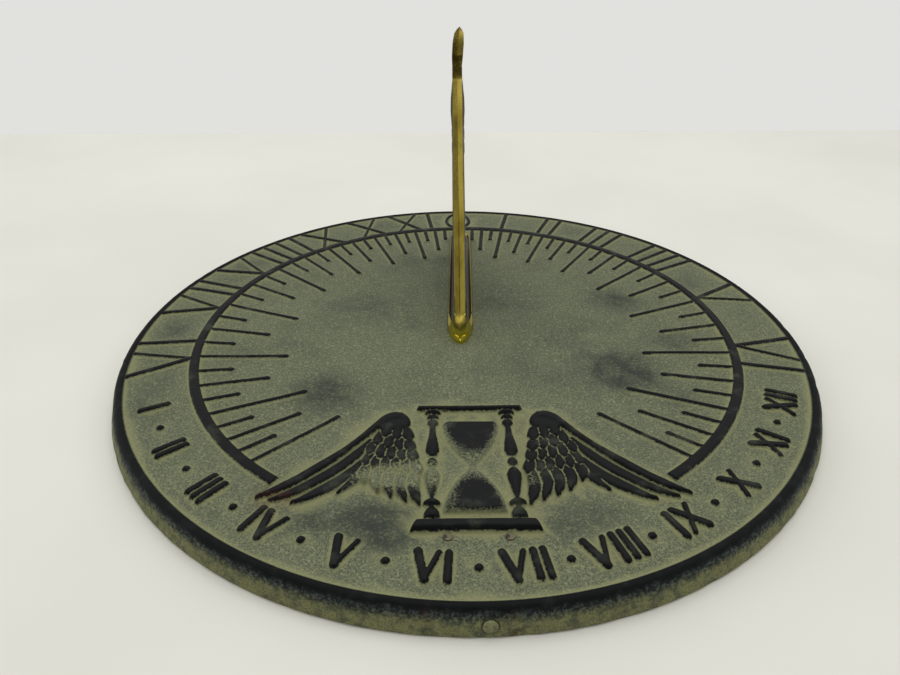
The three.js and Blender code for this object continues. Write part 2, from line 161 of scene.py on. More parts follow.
class FaceMap:
    """Heights above the face on a square grid, and what the finish needs to know about them."""

    step = 0.25
    reach = 131.0

    def __init__(self):
        line = np.arange(-self.reach, self.reach + self.step / 2, self.step)
        self.x, self.y = np.meshgrid(line, line, indexing="ij")
        self.height = np.zeros_like(self.x)
        self.rubbed = np.zeros_like(self.x)

    def window(self, path, margin):
        path = np.asarray(path, float)
        low = np.floor((path.min(axis=0) - margin + self.reach) / self.step).astype(int)
        high = np.ceil((path.max(axis=0) + margin + self.reach) / self.step).astype(int)
        low = np.maximum(low, 0)
        return slice(low[0], high[0] + 1), slice(low[1], high[1] + 1)

    def raise_to(self, window, heights):
        self.height[window] = np.maximum(self.height[window], heights)

    def stroke(self, path, half_width, height, ramp=0.8, skirt=0.0):
        """A flat-topped ridge with round ends, and a low slope of skirt millimetres at its foot.
        half_width is a number, or a function of the share."""
        window = self.window(path, 5)
        distance, share = from_path(path, self.x[window], self.y[window])
        half = half_width(share) if callable(half_width) else half_width
        outside = np.abs(distance) - half
        ridge = height * rise(-ramp / 2, ramp / 2, -outside)
        foot = skirt * (1 - rise(-0.5, 2.3, outside))
        self.raise_to(window, np.maximum(ridge, foot))

    def feather(self, path, half_widths, root_height, tip_height, tilt=0.0, laid_over=False):
        """A domed vane along a path, with its half width at even steps. tilt lifts its left edge.
        One laid over the others hides what is under it, down to the groove round its edge."""
        window = self.window(path, 7)
        distance, share = from_path(path, self.x[window], self.y[window])
        half = np.interp(share, np.linspace(0, 1, len(half_widths)), half_widths)
        across = np.clip(distance / half, -1, 1)
        crown = (1 - np.abs(across) ** 2.8) ** 0.7
        edge = rise(0, 0.45 if laid_over else 0.35, half - np.abs(distance))
        level = root_height + (tip_height - root_height) * share
        vane = level * edge * (0.4 + 0.6 * crown) * (1 + tilt * across)
        if laid_over:
            covered = np.abs(distance) < half
            self.height[window] = np.where(covered, 0.35 + 0.8 * vane, self.height[window])
        else:
            self.raise_to(window, vane)

    def sample(self, values, x, y):
        """The map's values at points between its own."""
        u = np.clip((x + self.reach) / self.step, 0, values.shape[0] - 1.001)
        v = np.clip((y + self.reach) / self.step, 0, values.shape[1] - 1.001)
        i = u.astype(int)
        j = v.astype(int)
        a = u - i
        b = v - j
        return (
            values[i, j] * (1 - a) * (1 - b) + values[i + 1, j] * a * (1 - b)
            + values[i, j + 1] * (1 - a) * b + values[i + 1, j + 1] * a * b
        )


# ---- relief of the dial

def on_face(radius, angle):
    """A point of the face, by its radius and its angle clockwise from noon."""
    return np.array([radius * math.sin(angle), radius * math.cos(angle)])


def hour_point(hour, radius):
    """Where an hour's line crosses a circle about the dial's centre, the hour counted from noon."""
    start = np.array([math.copysign(STYLE_THICKNESS / 2, hour), STYLE_FOOT_Y])
    hour_angle = math.radians(15 * hour)
    angle = math.atan2(math.sin(LATITUDE) * math.sin(hour_angle), math.cos(hour_angle))
    along = on_face(1, angle)
    near = start @ along
    return start + along * (-near + math.sqrt(near**2 - start @ start + radius**2))


def add_ring(face):
    radius = np.hypot(face.x, face.y)
    from_south = np.abs(np.arctan2(face.x, -face.y))
    outside = np.abs(radius - RING_MIDDLE) - RING_HALF_WIDTH
    ridge = RING_HEIGHT * rise(-0.35, 0.35, -outside)
    band = np.maximum(ridge, RING_SKIRT * (1 - rise(-0.5, 2.3, outside)))
    face.height = np.maximum(face.height, band * rise(-0.004, 0.004, from_south - RING_GAP_HALF_ANGLE))


def add_hour_lines(face, chance):
    for quarter in range(1, LAST_QUARTER + 1):
        kind = math.gcd(quarter, 4)
        for side in (-1, 1):
            hour = side * quarter / 4
            inner = hour_point(hour, HOUR_LINE_ENDS[kind] + chance.uniform(-0.5, 0.5))
            outer = hour_point(hour, RING_MIDDLE)
            half = LINE_HALF_WIDTH + chance.uniform(-0.04, 0.06)
            flared = lambda share: half + LINE_FLARE * (1 - rise(0.02, 0.12, share))
            face.stroke([inner, outer], flared, LINE_HEIGHT, skirt=LINE_SKIRT)


LETTERS = {
    "I": (0.0, [((0, 0), (0, 1), 1.0)]),
    "V": (0.66, [((0, 1), (0.33, 0), 1.1), ((0.66, 1), (0.33, 0), 0.75)]),
    "X": (0.6, [((0, 1), (0.6, 0), 1.1), ((0.6, 1), (0, 0), 0.75)]),
}


def add_numeral(face, text, angle, feet, tops, half_width, height):
    """A numeral written round a circle, with its letters' feet at one radius and tops at another."""
    tall = abs(tops - feet)
    clockwise = math.copysign(1, tops - feet)
    middle = (tops + feet) / 2
    gap = 0.31 * tall
    left = -(sum(LETTERS[letter][0] * tall for letter in text) + gap * (len(text) - 1)) / 2
    for letter in text:
        width, strokes = LETTERS[letter]
        for start, end, weight in strokes:
            path = [
                on_face(feet + up * (tops - feet), angle + clockwise * (left + across * tall) / middle)
                for across, up in (start, end)
            ]
            face.stroke(path, half_width * weight, height, ramp=0.7, skirt=NUMERAL_SKIRT)
        left += width * tall + gap


def add_hour_numerals(face):
    """Numerals from six in the morning to six in the evening, with a gap for the oval at noon."""
    hours = ["VI", "VII", "VIII", "IX", "X", "XI", "", "I", "II", "III", "IIII", "V", "VI"]
    middle = (HOUR_NUMERAL["feet"] + HOUR_NUMERAL["tops"]) / 2
    for hour, text in enumerate(hours, -6):
        if text:
            add_numeral(face, text, math.atan2(*hour_point(hour, middle)), **HOUR_NUMERAL)


def add_noon_oval(face):
    turns = np.linspace(0, 2 * math.pi, 49)
    oval = np.stack([5.9 * np.cos(turns), 112.8 + 9.1 * np.sin(turns)], axis=-1)
    face.stroke(oval, 0.85, HOUR_NUMERAL["height"], ramp=0.7)


def add_month_scale(face):
    """A calendar scale of plain month numerals round the lower band, with a stud between months."""
    months = ["I", "II", "III", "IV", "V", "VI", "VII", "VIII", "IX", "X", "XI", "XII"]
    middle = (MONTH_NUMERAL["feet"] + MONTH_NUMERAL["tops"]) / 2
    step = 2 * MONTH_HALF_SPAN / (len(months) - 1)
    for place, text in enumerate(months):
        angle = math.pi + MONTH_HALF_SPAN - place * step
        add_numeral(face, text, angle, **MONTH_NUMERAL)
        if place > 0:
            stud = on_face(middle, angle + step / 2)
            face.stroke([stud - 0.05, stud + 0.05], STUD_RADIUS, STUD_HEIGHT)


def add_turned(face, x0, profile, flatness):
    """Half a turned rod lying along Y. Its profile is a list of (y, radius) from the top down."""
    y_steps, radii = np.array(profile[::-1], float).T
    window = face.window([(x0 - 4, y_steps[0]), (x0 + 4, y_steps[-1])], 0.5)
    x, y = face.x[window], face.y[window]
    radius = np.interp(y, y_steps, radii, left=0, right=0)
    across = np.clip(np.abs(x - x0) / np.maximum(radius, 1e-3), 0, 1)
    face.raise_to(window, flatness * radius * np.sqrt(1 - across**2))


def add_bulb(face, profile, low_height, high_height, edge):
    """A bulb of the hourglass. Its height grows along Y from its low end to its high end."""
    y_steps, halves = np.array(sorted(profile), float).T
    window = face.window([(-10, y_steps[0]), (10, y_steps[-1])], 1)
    x, y = face.x[window], face.y[window]
    half = np.interp(y, y_steps, halves, left=0, right=0)
    inside = np.minimum(half - np.abs(x), np.minimum(y - y_steps[0], y_steps[-1] - y) * 1.8)
    share = np.clip((y - y_steps[0]) / (y_steps[-1] - y_steps[0]), 0, 1)
    level = low_height + (high_height - low_height) * share
    round_up = 1 - (1 - np.clip(inside / edge, 0, 1)) ** 2
    face.raise_to(window, level * round_up * (0.86 + 0.14 * np.sqrt(np.clip(inside / 9, 0, 1))))
    toward_high = share if high_height > low_height else 1 - share
    worn = 1 - rise(0.6, 4.6, inside + 1.2 * toward_high)
    worn = np.maximum(worn, 0.85 * (1 - rise(0.1, 0.55, toward_high)))
    worn = np.maximum(worn, 0.55 * rise(0, -7, x) * (high_height < low_height))
    face.rubbed[window] = np.maximum(face.rubbed[window], np.where(inside > 0, worn, 0))


def add_hourglass(face):
    """Two turned pillars, two bulbs, the cap above them and the plinth below."""
    pillar = [
        (-52.6, 2.7), (-53.9, 2.7), (-54.5, 1.2), (-55.1, 2.1), (-56.1, 2.1), (-56.7, 0.9),
        (-57.3, 1.8), (-58.6, 2.0), (-60.2, 1.1), (-64.0, 1.3), (-68.5, 2.0), (-71.6, 2.25),
        (-73.6, 1.5), (-74.4, 0.6), (-75.2, 1.4), (-76.6, 1.75), (-77.9, 1.3), (-78.6, 0.6),
        (-79.6, 1.5), (-82.0, 2.4), (-84.5, 2.2), (-88.0, 1.5), (-91.2, 0.9), (-92.0, 1.5),
        (-93.0, 2.6), (-94.0, 2.5), (-94.7, 1.1), (-95.6, 1.7), (-97.0, 2.3), (-99.2, 2.4),
    ]
    for side in (-1, 1):
        add_turned(face, side * 12, pillar, 0.85)
    upper = [
        (-57.8, 8.6), (-59.5, 9.2), (-63, 8.8), (-67, 7.7), (-71, 6), (-74.5, 3.6), (-77, 1.7),
        (-78.6, 1.3),
    ]
    lower = [
        (-78.2, 1.3), (-79.8, 2), (-82, 3.9), (-85, 5.7), (-88.5, 7.4), (-92, 8.5), (-95, 9),
        (-97, 8.9),
    ]
    add_bulb(face, upper, 1.1, 2.1, 2.4)
    add_bulb(face, lower, 2.3, 1.1, 2.2)
    face.stroke([(-16.3, -51.0), (16.3, -51.0)], 0.95, 1.9, ramp=0.9)
    low, high = -103.9, -99.4
    window = face.window([(-19, low - 1.3), (19, high + 0.9)], 0)
    x, y = face.x[window], face.y[window]
    up = np.clip((y - low) / (high - low), 0, 1)
    half = 15.2 + 2.8 * np.sqrt(1 - up**2)
    inside = np.minimum(half - np.abs(x), np.minimum(high - y, (y - low) * 1.2))
    face.raise_to(window, 2.5 * rise(-0.1, 1.0, inside) * (0.82 + 0.18 * rise(0, 3, inside)))


PRIMARIES = [
    (
        [(22.5, -55.2), (26, -55.9), (29.2, -59.0), (32, -62.8), (36, -68.2), (40, -72.9),
         (45, -78.0), (50, -82.9), (55, -86.8), (58.6, -89.1), (61.2, -90.5)],
        [1.9, 1.6, 1.2, 1.3, 1.65, 1.75, 1.65, 0.7], 2.0, 1.7,
    ),
    (
        [(31.2, -67.0), (33, -70.0), (36, -74.3), (40, -79.1), (45, -83.8), (50, -87.8),
         (54.5, -90.5), (57.4, -91.7)],
        [1.2, 1.9, 2.0, 1.9, 1.6, 0.7], 1.4, 1.6,
    ),
    (
        [(30.2, -71.5), (32.6, -76.6), (36, -81.2), (40, -85.3), (45, -89.2), (48.6, -91.6),
         (51.0, -92.5)],
        [1.3, 1.9, 2.1, 2.1, 1.7, 0.7], 1.3, 1.6,
    ),
    ([(30.5, -78.5), (32.6, -81.8), (35.6, -85.4), (38.7, -88.8)], [1.0, 1.6, 1.5, 0.6], 1.1, 1.4),
]
SECONDARIES = [
    [(30.6, -77.5), (31.9, -81.5), (31.5, -84.8)],
    [(27.2, -78.5), (28.3, -83.2), (27.4, -88.6)],
    [(23.8, -79.5), (24.7, -84.8), (23.6, -90.6)],
    [(20.3, -80.5), (21.0, -86.0), (19.3, -92.4)],
    [(17.1, -81.5), (17.4, -87.5), (15.5, -93.8)],
]
COVERT_ROWS = [
    (1.9, [(26.4, -62.6), (22.9, -63.8), (19.6, -64.6)]),
    (1.8, [(28.6, -66.2), (25.3, -67.8), (22.0, -68.6), (18.9, -69.6)]),
    (1.7, [(30.4, -70.4), (27.4, -72.2), (24.2, -72.8), (21.0, -73.4), (17.9, -74.2)]),
    (1.6, [(31.2, -75.4), (28.6, -76.8), (25.6, -77.4), (22.6, -77.8), (19.6, -78.4), (16.7, -79.2)]),
]


def add_wing(face, side, chance):
    """One wing: a thick leading edge, long primaries, short secondaries and rows of coverts."""
    def across(points):
        return [(side * x, y) for x, y in points]

    body = [(23.0, -58.0), (24.0, -65.0), (24.3, -73.0), (24.0, -80.5)]
    face.stroke(curve(across(body)), lambda share: 3.8 + 4.0 * share, 0.95, ramp=2.2)
    for points, halves, root, tip in PRIMARIES:
        face.feather(curve(across(points)), halves, root, tip, tilt=side * 0.12)
    for points in SECONDARIES:
        halves = [1.7, 2.05, 2.1, 1.8, 0.6]
        face.feather(curve(across(points)), halves, 1.2, 1.7, side * 0.3, laid_over=True)
    for tip_height, row in COVERT_ROWS[::-1]:
        for x, y in row:
            lean = 0.1 * (x - 23) + chance.uniform(-0.15, 0.15)
            points = [(x - lean, y + 2.6), (x, y), (x + lean, y - 2.4)]
            vane = curve(across(points), 8)
            face.feather(vane, [1.7, 2.1, 2.1, 1.0], 1.3, tip_height, side * 0.15, laid_over=True)
    shoulder = [(20.4, -58.8), (21.2, -56.4), (24, -54.9), (27, -56.4), (30, -60.3)]
    face.feather(curve(across(shoulder), 16), [1.5, 2.0, 2.0, 1.5], 2.1, 2.1)
    below_shoulder = [(21.4, -59.2), (23.8, -59.2), (26.8, -60.8)]
    face.feather(curve(across(below_shoulder), 8), [2.4, 2.9, 2.2], 2.0, 1.9)


def add_pin_collars(face):
    for pin in PINS.values():
        distance = np.hypot(face.x - pin.x, face.y - pin.y)
        face.height += 0.35 * rise(-0.7, 0.7, COLLAR_RADIUS - distance)
        face.height -= 0.5 * rise(-0.25, 0.25, PIN_HOLE_RADIUS - distance)


def face_relief():
    chance = np.random.default_rng(SEED)
    face = FaceMap()
    add_hour_lines(face, chance)
    add_ring(face)
    add_hour_numerals(face)
    add_noon_oval(face)
    add_month_scale(face)
    add_wing(face, -1, chance)
    add_wing(face, 1, chance)
    add_hourglass(face)
    add_pin_collars(face)
    face.height = blurred(face.height, 0.16, face.step)
    return face


# ---- meshes

def placed(name, data):
    """A new object in the scene."""
    holder = bpy.data.objects.new(name, data)
    bpy.context.scene.collection.objects.link(holder)
    return holder


def mesh_of(name, vertices, triangles):
    """An object from vertices in millimetres and triangles."""
    mesh = bpy.data.meshes.new(name)
    vertices = np.asarray(vertices, float) * MM
    triangles = np.asarray(triangles, np.int32)
    mesh.vertices.add(len(vertices))
    mesh.vertices.foreach_set("co", vertices.ravel())
    mesh.loops.add(triangles.size)
    mesh.loops.foreach_set("vertex_index", triangles.ravel())
    mesh.polygons.add(len(triangles))
    mesh.polygons.foreach_set("loop_start", np.arange(0, triangles.size, 3, dtype=np.int32))
    mesh.polygons.foreach_set("loop_total", np.full(len(triangles), 3, dtype=np.int32))
    mesh.update(calc_edges=True)
    mesh.validate()
    mesh.shade_smooth()
    return placed(name, mesh)


def set_attribute(piece, name, values):
    layer = piece.data.attributes.new(name, "FLOAT", "POINT")
    layer.data.foreach_set("value", np.asarray(values, np.float32))


def points_of(piece):
    """A piece's vertices, in millimetres."""
    flat = np.zeros(len(piece.data.vertices) * 3)
    piece.data.vertices.foreach_get("co", flat)
    return flat.reshape(-1, 3) / MM


def apply_modifiers(piece):
    depsgraph = bpy.context.evaluated_depsgraph_get()
    mesh = bpy.data.meshes.new_from_object(piece.evaluated_get(depsgraph))
    piece.modifiers.clear()
    piece.data = mesh


def square_disk(rings):
    """A disk gridded without a pole. Returns each vertex's ring and angle, the quads' triangles and
    the vertices of the last ring in order of angle."""
    line = np.arange(-rings, rings + 1)
    i, j = (grid.ravel() for grid in np.meshgrid(line, line, indexing="ij"))
    ring = np.maximum(np.abs(i), np.abs(j))
    wide = np.abs(i) > np.abs(j)
    with np.errstate(divide="ignore", invalid="ignore"):
        angle = np.where(
            wide,
            math.pi / 4 * j / i + math.pi * (i < 0),
            math.pi / 2 - math.pi / 4 * i / j + math.pi * (j < 0),
        )
    angle = np.where(ring == 0, 0, angle) % (2 * math.pi)
    side = 2 * rings + 1
    corner = (np.arange(side - 1)[:, None] * side + np.arange(side - 1)[None, :]).ravel()
    flip = (i[corner] + 0.5) * (j[corner] + 0.5) < 0
    a, b, c, d = corner, corner + side, corner + side + 1, corner + 1
    first = np.where(flip[:, None], np.stack([a, b, d], 1), np.stack([a, b, c], 1))
    second = np.where(flip[:, None], np.stack([b, c, d], 1), np.stack([a, c, d], 1))
    last = np.flatnonzero(ring == rings)
    return ring, angle, np.vstack([first, second]), last[np.argsort(angle[last], kind="stable")]


# ---- dial plate

RIM_PROFILE = [
    (124.7, 7.0), (124.95, 7.25), (125.4, 7.6), (126.0, 7.8), (126.5, 7.82), (127.1, 7.6), (127.7, 7.05),
    (128.15, 6.3), (128.5, 5.5), (128.9, 4.2), (129.3, 2.8), (129.75, 1.3), (129.9, 0.7), (129.8, 0.25),
    (129.5, 0.0),
]


def ripples(x, y, waves):
    """A cast surface's slight unevenness, from waves as (height, x frequency, y frequency, phase)."""
    return sum(height * np.sin(x * fx + y * fy + phase) for height, fx, fy, phase in waves)


def rim_pits(angle, place):
    """How deep the rough casting of the rim's side is, in millimetres, by angle and place along it."""
    chance = np.random.default_rng(SEED + 1)
    depth = np.zeros_like(angle)
    for _ in range(900):
        centre = chance.uniform(0, 2 * math.pi)
        height = chance.uniform(3.6, 10.5)
        size = chance.uniform(0.4, 1.5)
        away = np.abs((angle - centre + math.pi) % (2 * math.pi) - math.pi)
        near = away < 3 * size / DIAL_RADIUS
        span = (away[near] * DIAL_RADIUS / (1.4 * size)) ** 2 + ((place[near] - height) / size) ** 2
        depth[near] += chance.uniform(-0.12, 0.3) * size * np.exp(-span)
    return depth


def plate_top(face, ring, angle, rings):
    """Points of the face and the rim's side, with the relief, the pits and the plug's pocket."""
    face_rings = rings - RIM_RINGS
    profile = np.array(RIM_PROFILE)
    runs = np.concatenate([[0], np.cumsum(np.hypot(*np.diff(profile, axis=0).T))])
    place = np.clip(ring - face_rings, 0, None) / RIM_RINGS * runs[-1]
    on_rim = ring > face_rings
    on_face_radius = ring / face_rings * RIM_INNER_RADIUS
    radius = np.where(on_rim, np.interp(place, runs, profile[:, 0]), on_face_radius)
    z = np.where(on_rim, np.interp(place, runs, profile[:, 1]), FACE_Z)
    x = radius * np.cos(angle)
    y = radius * np.sin(angle)
    z = z + np.where(radius <= RIM_INNER_RADIUS + 0.2, face.sample(face.height, x, y), 0)
    wave = ripples(x, y, [(0.05, 0.11, 0.05, 1.0), (0.04, -0.07, 0.13, 2.2), (0.03, 0.21, 0.17, 0.4)])
    z = z + np.where(on_rim, 0, wave * rise(0, 8, RIM_INNER_RADIUS - radius))
    pits = np.zeros_like(radius)
    pits[on_rim] = rim_pits(angle[on_rim], place[on_rim])
    radius = radius - pits * rise(0.6, 2.4, place) * rise(0.1, 0.8, runs[-1] - place)
    plug_angle = math.atan2(PLUG_CENTRE.y, PLUG_CENTRE.x) % (2 * math.pi)
    from_plug = np.hypot((angle - plug_angle) * DIAL_RADIUS, z - PLUG_CENTRE.z)
    radius = radius - POCKET_DEPTH * rise(-0.2, 0.2, POCKET_RADIUS - from_plug) * (place > 1)
    return np.stack([radius * np.cos(angle), radius * np.sin(angle), z], axis=-1)


def plate_underside(ring, angle, rings):
    """Points of the foot and the shallow hollow inside it, with a seat for each screw."""
    radius = ring / rings * FOOT_RADIUS
    x = radius * np.cos(angle)
    y = radius * np.sin(angle)
    z = HOLLOW_DEPTH * rise(0, 2.2, HOLLOW_RADIUS - radius)
    for low, high in screw_boxes.values():
        seat = (low + high) / 2 / MM
        from_seat = np.hypot(x - seat.x, y - seat.y)
        z = z + SCREW_SEAT_DEPTH * rise(-0.4, 0.4, SCREW_SEAT_RADIUS - from_seat)
    wave = ripples(x, y, [(0.07, 0.19, 0.07, 0.3), (0.06, -0.12, 0.23, 1.9), (0.05, 0.31, -0.27, 4.1)])
    z = z + wave * rise(2, 10, HOLLOW_RADIUS - 0.2 - radius)
    return np.stack([x, y, z], axis=-1)


def dial_plate_mesh(face):
    """The plate: face and rim on one grid, the underside on a coarser one, joined at the foot."""
    rings = 340
    ring, angle, top_triangles, top_edge = square_disk(rings)
    top = plate_top(face, ring, angle, rings)
    under_ring, under_angle, under_triangles, under_edge = square_disk(rings // 2)
    bottom = plate_underside(under_ring, under_angle, rings // 2)
    inner = under_edge + len(top)
    stitches = []
    for place, start in enumerate(inner):
        end = inner[(place + 1) % len(inner)]
        t0, t1, t2 = (top_edge[(2 * place + step) % len(top_edge)] for step in range(3))
        stitches += [(start, t1, t0), (start, end, t1), (end, t2, t1)]
    triangles = np.vstack([top_triangles, under_triangles[:, ::-1] + len(top), np.array(stitches)])
    plate = mesh_of("dial_casting", np.vstack([top, bottom]), triangles)
    thin = plate.modifiers.new("thin", "DECIMATE")
    thin.ratio = min(1.0, PLATE_TRIANGLES / len(triangles))
    apply_modifiers(plate)
    plate.data.shade_smooth()
    return plate


# Soft darker spots on the face, as (x, y, size, weight).
CLOUDS = [
    (-39, 22, 17, 0.24), (-24, 60, 16, 0.26), (18, 28, 15, 0.34), (28, 3, 15, 0.24), (66, 24, 11, 0.9),
    (56, -29, 9, 2.8), (-50, -41, 10, 1.4), (-87, -16, 9, 0.4), (100, 38, 8, 0.5), (60, 100, 8, 0.3),
    (-115, 3, 8, 0.5), (-24, -101, 8, 1.9), (-34, -99, 7, 0.8), (24, -101, 8, 0.6), (23, -29, 12, 0.3),
    (-18, -42, 11, 0.2), (8, 92, 9, 0.5), (80, -10, 8, 0.6), (-60, 84, 10, 0.4), (-96, 62, 9, 0.4),
    (36, -99, 8, 0.5), (-45, -98, 6, 0.8), (-37, 108, 8, 0.5), (-112, -48, 6, 0.5), (72, -46, 7, 0.5),
    (88, 68, 7, 0.4), (-8, 66, 5, 0.7),
]
PALE = [(-30, -84, 6, 1.0), (-21, -83, 6, 0.9), (-12.5, -82, 7, 0.9), (17, -85, 4, 0.6)]
RUST = [(-59, -90, 4, 1.0), (-53, -91.5, 3, 0.6), (-12.9, -128, 1.3, 0.8), (8, -129.5, 1.6, 1.0)]


def blobs(x, y, spots):
    """The spots added up at each point."""
    return sum(
        weight * np.exp(-((x - cx) ** 2 + (y - cy) ** 2) / size**2) for cx, cy, size, weight in spots)


def finish_maps(plate, face):
    """What the iron's finish needs on each point: rubbed tops, hollows, clouds, rust and the rim."""
    relief = face.height + 0.9 * rise(124.6, 125.4, np.hypot(face.x, face.y))
    tops = rise(0.1, 0.4, face.height - 0.6 * blurred(face.height, 0.8, face.step))
    tops *= 1 - 0.85 * face.rubbed
    hollows = rise(0.03, 0.3, blurred(relief, 0.8, face.step) - relief)
    sheltered = np.clip(2.2 * blurred(rise(0.3, 0.7, relief), 3.2, face.step), 0, 1)
    x, y, z = points_of(plate).T
    radius = np.hypot(x, y)
    upper = (z > 5) & (radius < RIM_INNER_RADIUS + 0.6)
    hour_band = within(103, 108, 118, 123, radius) * rise(-62, -50, y)
    kept = 1 - 0.85 * np.clip(blobs(x, y, PALE), 0, 1)
    marks = {
        "tops": np.where(upper, face.sample(tops, x, y) * kept, 0),
        "hollows": np.where(upper, face.sample(hollows, x, y), 0),
        "sheltered": np.where(upper, face.sample(sheltered, x, y), 0),
        "cloud": np.where(upper, blobs(x, y, CLOUDS) + 0.1 * hour_band, 0.3),
        "rust": blobs(x, y, RUST),
        "rim": rise(124.8, 125.2, radius),
        "fall": np.clip((7.9 - z) / 7.9, 0, 1),
    }
    for name, values in marks.items():
        set_attribute(plate, name, values)


# ---- materials

def srgb(red, green, blue):
    """A colour given as it looks on a screen, 0 to 255, as a linear one."""
    def linear(value):
        value /= 255
        return value / 12.92 if value <= 0.04045 else ((value + 0.055) / 1.055) ** 2.4
    return (linear(red), linear(green), linear(blue), 1.0)


class Nodes:
    """Short calls for the nodes of one tree. An input is a socket to link or a value to set."""

    def __init__(self, tree):
        self.tree = tree

    def join(self, source, target):
        if hasattr(source, "links"):
            self.tree.links.new(source, target)
        else:
            target.default_value = source

    def made(self, kind, output, inputs, **settings):
        """An output of a new node that has these inputs and settings."""
        node = self.tree.nodes.new("ShaderNode" + kind)
        for key, value in settings.items():
            setattr(node, key, value)
        for socket, value in inputs.items():
            self.join(value, node.inputs[socket])
        return node.outputs[output]


class Finish(Nodes):
    """A material and short calls for what its nodes do."""

    def __init__(self, name, **values):
        self.material = bpy.data.materials.new(name)
        self.material.use_nodes = True
        super().__init__(self.material.node_tree)
        self.shader = self.tree.nodes["Principled BSDF"]
        for socket, value in values.items():
            self.shader.inputs[socket.replace("_", " ")].default_value = value
        self.place = self.made("TexCoord", "Object", {})

    def attribute(self, name):
        return self.made("Attribute", "Fac", {}, attribute_name=name)

    def noise(self, size, detail=3.0, roughness=0.55, distortion=0.0, place=None):
        """Noise with features of about that many millimetres."""
        return self.made("TexNoise", "Fac", {
            "Vector": place or self.place, "Scale": 1 / (size * MM), "Detail": detail,
            "Roughness": roughness, "Distortion": distortion,
        })

    def away_from(self, x, y, z):
        """Distance from a point of the frame, in metres."""
        inputs = {0: self.place, 1: (x * MM, y * MM, z * MM)}
        return self.made("VectorMath", "Value", inputs, operation="DISTANCE")

    def stretched(self, x, y, z):
        return self.made("Mapping", "Vector", {"Vector": self.place, "Scale": (x, y, z)})

    def between(self, value, low, high):
        """value stretched so that low gives 0 and high gives 1."""
        inputs = {"Value": value, "From Min": low, "From Max": high}
        return self.made("MapRange", "Result", inputs, interpolation_type="SMOOTHSTEP")

    def range(self, value, low, high):
        """value from 0 to 1 turned into a number from low to high."""
        return self.made("MapRange", "Result", {"Value": value, "To Min": low, "To Max": high})

    def math(self, operation, first, second):
        return self.made("Math", 0, {0: first, 1: second}, operation=operation, use_clamp=True)

    def mix(self, amount, first, second):
        return self.made("Mix", 2, {"Factor": amount, 6: first, 7: second}, data_type="RGBA")

    def tones(self, value, low, high, first, second):
        """The first tone where value is low and the second where it is high."""
        return self.mix(self.between(value, low, high), srgb(*first), srgb(*second))

    def over(self, colour, tone, amount, weight):
        """colour with a tone laid over it by amount times weight."""
        return self.mix(self.math("MULTIPLY", amount, weight), colour, srgb(*tone))

    def bump(self, height, distance, strength=1.0, normal=None):
        inputs = {"Height": height, "Distance": distance * MM, "Strength": strength}
        if normal is not None:
            inputs["Normal"] = normal
        return self.made("Bump", "Normal", inputs)

    def finish(self, colour, roughness, normal):
        self.join(colour, self.shader.inputs["Base Color"])
        self.join(roughness, self.shader.inputs["Roughness"])
        self.join(normal, self.shader.inputs["Normal"])
        return self.material


